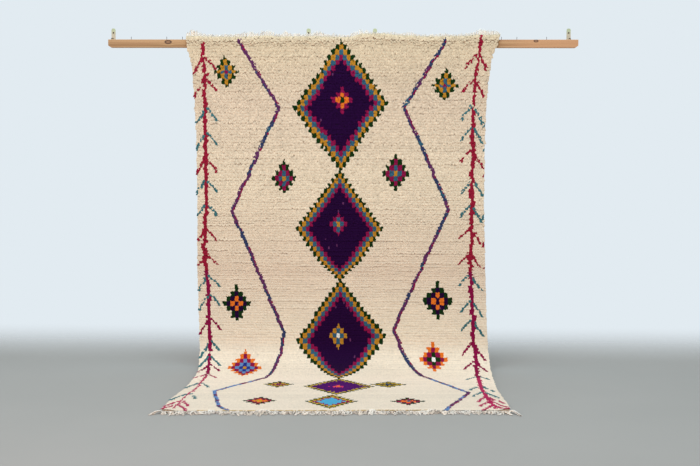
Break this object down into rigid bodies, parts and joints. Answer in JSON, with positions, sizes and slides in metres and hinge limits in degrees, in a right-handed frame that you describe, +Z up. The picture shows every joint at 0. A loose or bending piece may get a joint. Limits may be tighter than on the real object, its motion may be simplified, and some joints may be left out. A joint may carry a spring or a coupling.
{
  "type": "azilal rug hung on a wooden rail",
  "caption": "Thick knotted wool rug with lozenges, zigzags and twig lines, hung from a nailed pine rail and lying forward on the floor with a short fringe.",
  "frame": {"origin": "middle of the rail's back face, which lies against the wall", "axes": "+X to the right as seen from the front, +Y into the wall, +Z up"},
  "size_m": [2.4, 1.1798, 1.7543],
  "materials": {
    "wool": "short knotted wool pile, cream with coloured motifs",
    "warp": "raw wool warp and fringe",
    "pine": "planed pine, unvarnished",
    "brass": "brass plated, slightly dulled",
    "steel": "dark steel"
  },
  "bodies": {
    "root": {"rug_cloth": "wool", "top_fringe": "warp", "floor_fringe": "warp", "rail": "pine", "bracket_left_end": "brass", "wall_screw_left_end": "steel", "foot_screw_left_end": "steel", "bracket_left_middle": "brass", "wall_screw_left_middle": "steel", "foot_screw_left_middle": "steel", "bracket_right_middle": "brass", "wall_screw_right_middle": "steel", "foot_screw_right_middle": "steel", "bracket_right_end": "brass", "wall_screw_right_end": "steel", "foot_screw_right_end": "steel", "bare_nail_1": "steel", "bare_nail_2": "steel", "bare_nail_3": "steel", "bare_nail_4": "steel", "bare_nail_5": "steel", "bare_nail_6": "steel", "hem_nail_1": "steel", "hem_nail_2": "steel", "hem_nail_3": "steel", "hem_nail_4": "steel", "hem_nail_5": "steel", "hem_nail_6": "steel", "hem_nail_7": "steel", "hem_nail_8": "steel", "hem_nail_9": "steel", "hem_nail_10": "steel", "hem_nail_11": "steel", "hem_nail_12": "steel", "hem_nail_13": "steel", "hem_nail_14": "steel", "hem_nail_15": "steel", "hem_nail_16": "steel", "hem_nail_17": "steel", "hem_nail_18": "steel", "hem_nail_19": "steel", "hem_nail_20": "steel"}
  },
  "joints": []
}
